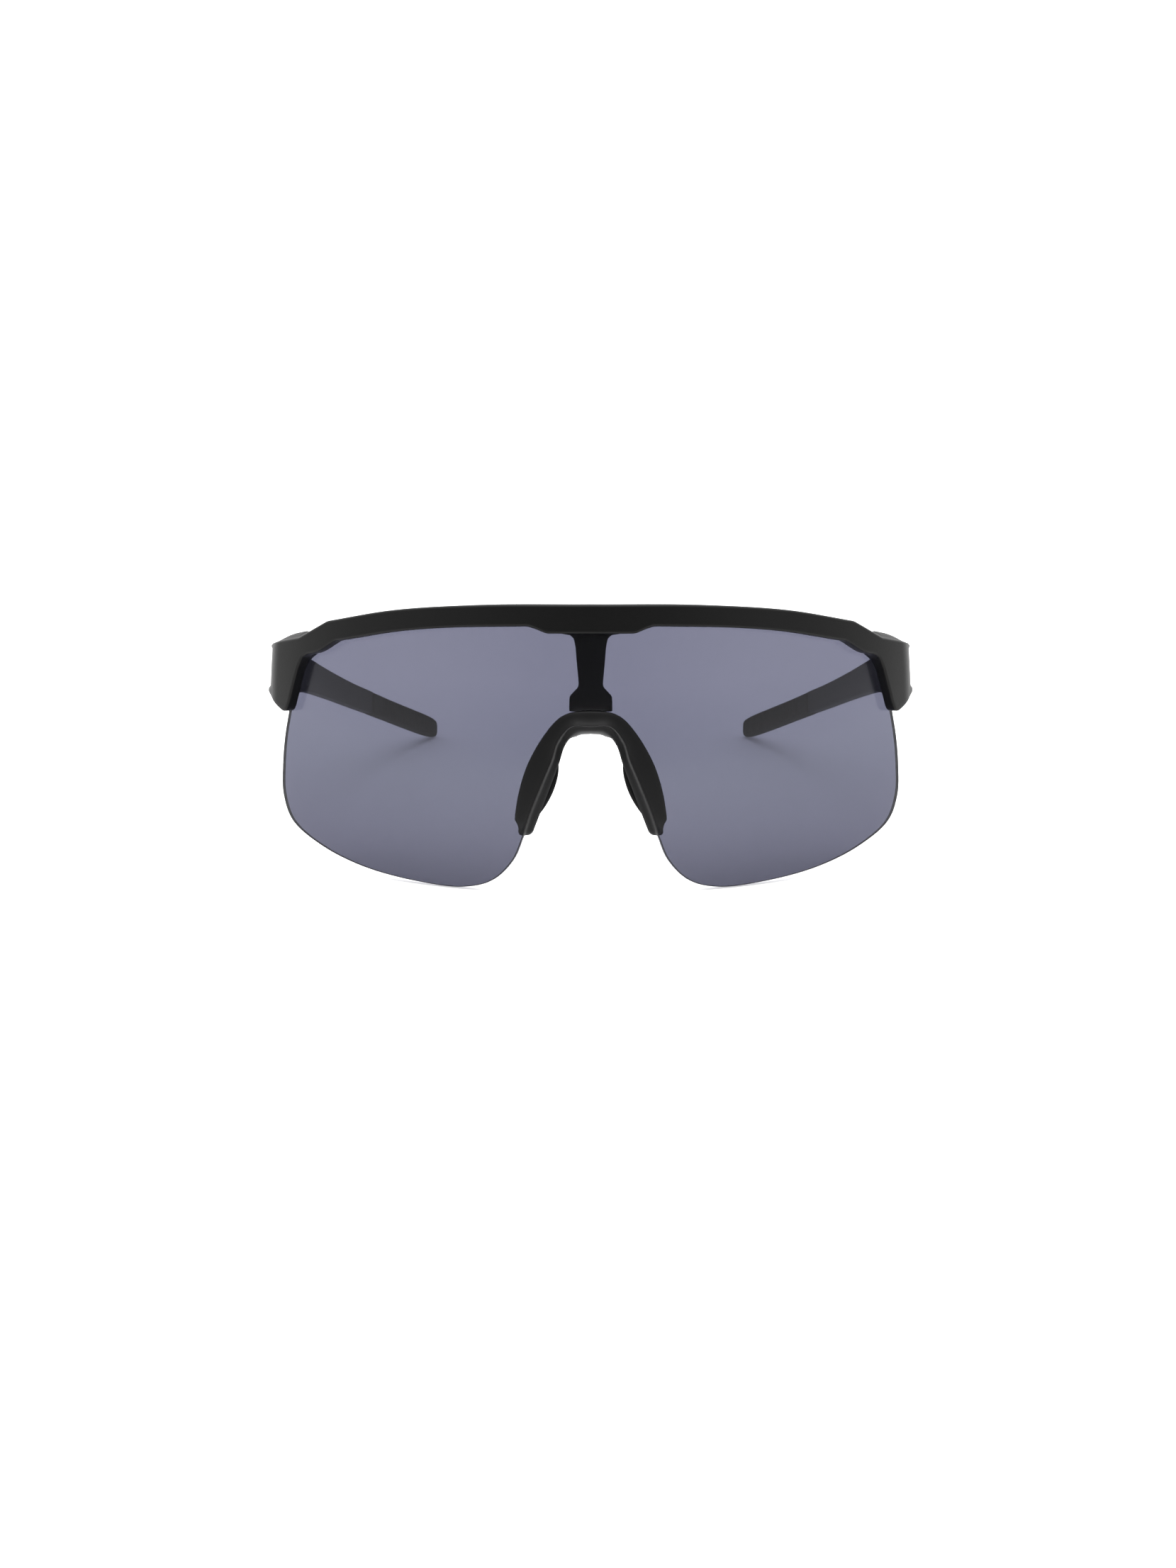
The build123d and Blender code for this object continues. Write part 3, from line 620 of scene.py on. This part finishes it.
# the skin that meets the frame outside the hinge, and the knuckle between the lugs
arm_skin = soften(np.array([(2.34, 0.05), (2.95, 0.05), (2.9, 3.2), (2.0, 3.2)]), 0.15, 0.2, closed=True)
plate(arm_shape, arm_skin, 5.15, -5.15, left_hinge, edge=0.12, step=0.8)
turns = np.linspace(math.pi, 2 * math.pi, 19)
knuckle = [(2.1 * math.cos(t), 2.1 * math.sin(t)) for t in turns] + [(2.1, 3.0), (-1.5, 3.0)]
knuckle = soften(np.array(knuckle), 0.2, 0.3, closed=True)
plate(arm_shape, knuckle, 2.3, -2.3, left_hinge, edge=0.15, step=0.7)

GRIP_START, GRIP_STOP = 76.05, 123.4
TIP_LENGTH, LIP_LENGTH = 2.3, 0.35
RIB_START, RIB_PITCH, RIB_DEPTH = 83.0, 2.35, 0.34


def grip_loop(v):
    base = float(inner_face(v))
    near, far = base + grip_near(v), base + grip_far(v)
    top, bottom = grip_top(v), grip_bottom(v)
    end = max(0.0, (v - (GRIP_STOP - TIP_LENGTH)) / TIP_LENGTH)
    lead = max(0.0, (GRIP_START + LIP_LENGTH - v) / LIP_LENGTH)
    shrink = TIP_LENGTH * (1 - math.sqrt(max(0.0, 1 - end * end)))
    side = 1.4 * (1 - math.sqrt(max(0.0, 1 - end ** 2.4)))
    lip = 0.3 * lead * lead
    outline = slab(near + side + lip, far - side - lip, top - shrink - lip, bottom + 0.8 * shrink + lip, 1.15)
    middle, half = (outline[:, 1].max() + outline[:, 1].min()) / 2, np.ptp(outline[:, 1]) / 2
    across = (outline[:, 0] - outline[:, 0].min()) / np.ptp(outline[:, 0])
    height = (outline[:, 1] - middle) / half
    outline[:, 0] -= 0.2 * ease(across, 0.5, 1.0) * height ** 2
    where = ease(v, 82.0, 84.0) * (1 - ease(v, 118.0, 120.0))
    rib = 0.5 + 0.5 * math.cos(2 * math.pi * (v - RIB_START) / RIB_PITCH)
    groove = RIB_DEPTH * where * ease(rib, 0.25, 0.75)
    outline[:, 0] += groove * (1 - ease(across, 0.05, 0.35)) * (1 - ease(np.abs(height), 0.6, 0.85))
    return left_hinge(outline[:, 0], v + 0 * outline[:, 0], outline[:, 1])


grip_at = [GRIP_START + ahead for ahead in (0, 0.08, 0.2, LIP_LENGTH)]
grip_at += list(np.arange(GRIP_START + 0.6, GRIP_STOP - TIP_LENGTH - 0.1, 0.1 * RIB_PITCH))
grip_at += list(GRIP_STOP - TIP_LENGTH + (TIP_LENGTH - 0.01) * np.sin(np.linspace(0, math.pi / 2, 14)))
grip_shape = Shape()
tube(grip_shape, [grip_loop(v) for v in grip_at])


# ---- materials
def material(name):
    """A material with nothing but its output."""
    made = bpy.data.materials.new(name)
    made.use_nodes = True
    tree = made.node_tree
    tree.nodes.clear()
    out = tree.nodes.new("ShaderNodeOutputMaterial")
    return made, tree, out


def moulded(name, dark, light, rough, grain, bump, coarse=60.0, specular=0.5, metallic=0.0, streak=None):
    """Moulded or turned surfaces: two close colours in a slow mottle, fine grain in roughness and height."""
    made, tree, out = material(name)
    new, link = tree.nodes.new, tree.links.new
    shader = new("ShaderNodeBsdfPrincipled")
    place = new("ShaderNodeTexCoord")
    slow = new("ShaderNodeTexNoise")
    slow.inputs["Scale"].default_value = coarse
    slow.inputs["Detail"].default_value = 5.0
    fine = new("ShaderNodeTexNoise")
    fine.inputs["Scale"].default_value = grain
    fine.inputs["Detail"].default_value = 3.0
    ramp = new("ShaderNodeValToRGB")
    ramp.color_ramp.elements[0].position = 0.3
    ramp.color_ramp.elements[0].color = (*dark, 1)
    ramp.color_ramp.elements[1].position = 0.75
    ramp.color_ramp.elements[1].color = (*light, 1)
    shine = new("ShaderNodeMapRange")
    shine.inputs["To Min"].default_value = rough[0]
    shine.inputs["To Max"].default_value = rough[1]
    relief = new("ShaderNodeBump")
    relief.inputs["Strength"].default_value = bump
    relief.inputs["Distance"].default_value = 0.00005
    if streak:
        stretch = new("ShaderNodeMapping")
        stretch.inputs["Scale"].default_value = streak
        link(place.outputs["Object"], stretch.inputs["Vector"])
        link(stretch.outputs["Vector"], fine.inputs["Vector"])
    else:
        link(place.outputs["Object"], fine.inputs["Vector"])
    link(place.outputs["Object"], slow.inputs["Vector"])
    link(slow.outputs["Fac"], ramp.inputs["Fac"])
    link(ramp.outputs["Color"], shader.inputs["Base Color"])
    link(fine.outputs["Fac"], shine.inputs["Value"])
    link(shine.outputs["Result"], shader.inputs["Roughness"])
    link(fine.outputs["Fac"], relief.inputs["Height"])
    link(relief.outputs["Normal"], shader.inputs["Normal"])
    shader.inputs["Specular IOR Level"].default_value = specular
    shader.inputs["Metallic"].default_value = metallic
    link(shader.outputs["BSDF"], out.inputs["Surface"])
    return made


nylon = moulded("frame_nylon_matte", (0.0014, 0.0014, 0.0014), (0.0022, 0.0022, 0.0022), (0.36, 0.44),
                2600.0, 0.22, specular=0.18)
# a lighter copy of the frame's nylon for the bar's front behind the lens: painted light, standing in for the
# light the tinted lens keeps from it
bar_painted_light_nylon = moulded("bar_painted_light_nylon_matte", (0.07, 0.07, 0.07), (0.085, 0.085, 0.085), (0.4, 0.5), 2600.0, 0.22,
                    specular=0.17)
temple_nylon = moulded("temple_nylon_matte", (0.003, 0.003, 0.003), (0.0045, 0.0045, 0.0045), (0.4, 0.5),
                       2400.0, 0.25, specular=0.05)
nose_rubber = moulded("nose_rubber_satin", (0.0018, 0.0018, 0.002), (0.0028, 0.0028, 0.003), (0.4, 0.48),
                      1800.0, 0.2, specular=0.14)
pad_rubber = moulded("pad_rubber_soft", (0.004, 0.004, 0.0043), (0.006, 0.006, 0.0064), (0.55, 0.7),
                     1500.0, 0.35, specular=0.15)
grip_rubber = moulded("grip_rubber_soft", (0.0016, 0.0016, 0.0017), (0.0026, 0.0026, 0.0028), (0.5, 0.65),
                      1600.0, 0.4, specular=0.03)
steel = moulded("hinge_steel_turned", (0.42, 0.42, 0.43), (0.56, 0.56, 0.57), (0.22, 0.36), 900.0, 0.15,
                metallic=1.0, streak=(1, 1, 12))
brass = moulded("hinge_brass_turned", (0.55, 0.40, 0.16), (0.68, 0.50, 0.22), (0.24, 0.4), 900.0, 0.15,
                metallic=1.0, streak=(1, 1, 12))
washer = moulded("washer_nylon_natural", (0.55, 0.54, 0.50), (0.66, 0.65, 0.61), (0.4, 0.55), 1400.0, 0.15)


# each ray crosses two of the lens's faces, so these are about the square roots of what the lens lets through
LENS_HIGH = (0.310, 0.313, 0.369)
LENS_MID = (0.278, 0.284, 0.338)
LENS_LOW = (0.252, 0.254, 0.310)
GLOSS_STRAIGHT, GLOSS_GRAZING = 0.032, 0.35


def calc(tree, operation, *values):
    """The output of a Math node, where each value is a number or an output to link."""
    node = tree.nodes.new("ShaderNodeMath")
    node.operation = operation
    for socket, value in zip(node.inputs, values):
        if isinstance(value, bpy.types.NodeSocket):
            tree.links.new(value, socket)
        else:
            socket.default_value = value
    return node.outputs["Value"]


def tinted_lens(name):
    """Smoke polycarbonate: a clear tint that deepens towards the lower edge, under a soft gloss."""
    made, tree, out = material(name)
    new, link = tree.nodes.new, tree.links.new
    place = new("ShaderNodeTexCoord")
    apart = new("ShaderNodeSeparateXYZ")
    height = new("ShaderNodeMapRange")
    height.inputs["From Min"].default_value = 0.0
    height.inputs["From Max"].default_value = 0.055
    cloud = new("ShaderNodeTexNoise")
    cloud.inputs["Scale"].default_value = 35.0
    cloud.inputs["Detail"].default_value = 2.0
    tint = new("ShaderNodeValToRGB")
    tint.color_ramp.elements.new(0.5)
    for stop, at, colour in zip(tint.color_ramp.elements, (0.15, 0.5, 0.85), (LENS_LOW, LENS_MID, LENS_HIGH)):
        stop.position = at
        stop.color = (*colour, 1)
    clear = new("ShaderNodeBsdfTransparent")
    gloss = new("ShaderNodeBsdfGlossy")
    gloss.inputs["Roughness"].default_value = 0.2
    gloss.inputs["Color"].default_value = (0.9, 0.9, 0.95, 1)
    link(place.outputs["Object"], apart.inputs["Vector"])
    link(apart.outputs["Z"], height.inputs["Value"])
    link(place.outputs["Object"], cloud.inputs["Vector"])
    shade = calc(tree, "MULTIPLY_ADD", cloud.outputs["Fac"], 0.06, height.outputs["Result"])
    link(shade, tint.inputs["Fac"])
    link(tint.outputs["Color"], clear.inputs["Color"])
    # more reflection at grazing angles, as Schlick has it, and none from inside the lens
    facing = new("ShaderNodeLayerWeight")
    facing.inputs["Blend"].default_value = 0.5
    grazing = calc(tree, "POWER", facing.outputs["Facing"], 5.0)
    reflected = calc(tree, "MULTIPLY_ADD", grazing, GLOSS_GRAZING, GLOSS_STRAIGHT)
    geometry = new("ShaderNodeNewGeometry")
    outside = calc(tree, "SUBTRACT", 1.0, geometry.outputs["Backfacing"])
    mix = new("ShaderNodeMixShader")
    link(calc(tree, "MULTIPLY", reflected, outside), mix.inputs["Fac"])
    link(clear.outputs["BSDF"], mix.inputs[1])
    link(gloss.outputs["BSDF"], mix.inputs[2])
    link(mix.outputs["Shader"], out.inputs["Surface"])
    return made


smoke = tinted_lens("smoke_lens_clear")
lens_edge = moulded("smoke_lens_edge", (0.02, 0.02, 0.022), (0.03, 0.03, 0.034), (0.4, 0.5), 1200.0, 0.1,
                    specular=0.08)


# ---- pieces
def finish_piece(shape, name, body, mats, nodes, sharp=35.0):
    """A shape's piece, with its materials by mark, on its body and in place of CAD nodes."""
    piece = shape.piece(name, sharp)
    facing_out(piece)
    for m in mats:
        piece.data.materials.append(m)
    piece.data.polygons.foreach_set("material_index", shape.mark)
    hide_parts(*nodes)
    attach(piece, body)


# mark 1, the bar's front behind the lens, takes the lighter copy of the nylon, which is painted light
finish_piece(brow_shape, "brow_frame_visual", "front", [nylon, bar_painted_light_nylon], ["brow_frame"])
finish_piece(lens_shape, "shield_lens_visual", "front", [smoke, lens_edge], ["shield_lens"])
finish_piece(nose_shape, "nose_bridge_visual", "front", [nose_rubber], ["nose_bridge"], 50.0)
for side in ("left", "right"):
    pad, arm, grip = (s if side == "left" else s.mirrored() for s in (pad_shape, arm_shape, grip_shape))
    temple = f"temple_{side}"
    finish_piece(pad, f"nose_pad_{side}_visual", "front", [pad_rubber], [f"nose_pad_{side}"])
    finish_piece(arm, f"temple_arm_{side}_visual", temple, [temple_nylon],
                 [f"temple_arm_{side}"])
    finish_piece(grip, f"temple_grip_{side}_visual", temple, [grip_rubber],
                 [f"temple_grip_{side}"], 60.0)
    for node, mat in (("temple_core", steel), ("hinge_screw", steel), ("hinge_bush", brass),
                      ("hinge_insert", brass), ("upper_washer", washer), ("lower_washer", washer)):
        kept = frame["nodes"][f"{node}_{side}"]
        kept.data.materials.clear()
        kept.data.materials.append(mat)

# ---- studio
scene = bpy.context.scene
scene.view_settings.view_transform = "Standard"
world = bpy.data.worlds.new("studio")
scene.world = world
world.use_nodes = True
WHITE_LEVEL = 1.75  # what the camera sees past the floor
SKY_FRONT, SKY_SIDE, SKY_TOP, SKY_BACK = 0.17, 0.9, 0.6, 1.2


def studio_sky():
    """Soft light from the sides, above and behind, a dim front, and plain white straight to the camera."""
    tree = world.node_tree
    new, link = tree.nodes.new, tree.links.new
    place = new("ShaderNodeTexCoord")
    apart = new("ShaderNodeSeparateXYZ")
    link(place.outputs["Generated"], apart.inputs["Vector"])
    total = SKY_FRONT
    for source, low, high, level in ((calc(tree, "ABSOLUTE", apart.outputs["X"]), 0.0, 0.9, SKY_SIDE),
                                     (apart.outputs["Z"], 0.45, 0.95, SKY_TOP),
                                     (apart.outputs["Y"], 0.0, 0.7, SKY_BACK)):
        part = new("ShaderNodeMapRange")
        part.interpolation_type = "SMOOTHSTEP"
        part.inputs["From Min"].default_value = low
        part.inputs["From Max"].default_value = high
        part.inputs["To Max"].default_value = level
        link(source, part.inputs["Value"])
        total = calc(tree, "ADD", part.outputs["Result"], total)
    dim = tree.nodes["Background"]
    dim.inputs["Color"].default_value = (1, 1, 1, 1)
    link(total, dim.inputs["Strength"])
    white = new("ShaderNodeBackground")
    white.inputs["Strength"].default_value = WHITE_LEVEL
    path = new("ShaderNodeLightPath")
    mix = new("ShaderNodeMixShader")
    link(path.outputs["Is Camera Ray"], mix.inputs["Fac"])
    link(dim.outputs["Background"], mix.inputs[1])
    link(white.outputs["Background"], mix.inputs[2])
    link(mix.outputs["Shader"], tree.nodes["World Output"].inputs["Surface"])


studio_sky()

FLOOR_HALF = 6.0
FLOOR_SIDE = 9  # points along each side


def floor_plane():
    """A wide pale floor."""
    n = FLOOR_SIDE
    edge = np.linspace(-1, 1, n) * FLOOR_HALF
    points = [(x, y, 0.0) for y in edge for x in edge]
    corners = [n * j + i for j in range(n - 1) for i in range(n - 1)]
    return fresh("studio_floor", points, [[k, k + 1, k + n + 1, k + n] for k in corners])


floor = floor_plane()
paper = moulded("floor_paper", (0.88, 0.88, 0.88), (0.9, 0.9, 0.9), (0.85, 0.95), 400.0, 0.02, coarse=2.0,
                specular=0.1)
glow = paper.node_tree.nodes["Principled BSDF"]  # the paper is lit from below as well, as on a light table
glow.inputs["Emission Color"].default_value = (1, 1, 1, 1)
glow.inputs["Emission Strength"].default_value = 0.5
floor.data.materials.append(paper)


def sun(name, direction, angle, power):
    """A soft light of that angle across, in degrees."""
    data = bpy.data.lights.new(name, "SUN")
    data.energy = power
    data.angle = math.radians(angle)
    made = bpy.data.objects.new(name, data)
    made.rotation_mode = "QUATERNION"
    made.rotation_quaternion = Vector(direction).to_track_quat("-Z", "Y")
    scene.collection.objects.link(made)


sun("overhead", (0, -0.1, -1), 80, 1.35)
sun("key", (0, 0.05, -1), 24, 0.8)

# ---- camera: in front of the glasses and looking down on them
CAMERA_AWAY = 450.0
CAMERA_HEIGHT = 0.1361
CAMERA_PITCH = 13.82
camera_data = bpy.data.cameras.new("camera")
camera_data.sensor_fit = "AUTO"
camera_data.sensor_width = 36.0
camera_data.lens = 50.0
camera_data.clip_start, camera_data.clip_end = 0.01, 20.0
camera = bpy.data.objects.new("camera", camera_data)
camera.location = (-0.6 * MM, (SHIFT[1] - CAMERA_AWAY) * MM, CAMERA_HEIGHT)
camera.rotation_euler = (math.radians(90 - CAMERA_PITCH), 0, 0)
scene.collection.objects.link(camera)
scene.camera = camera
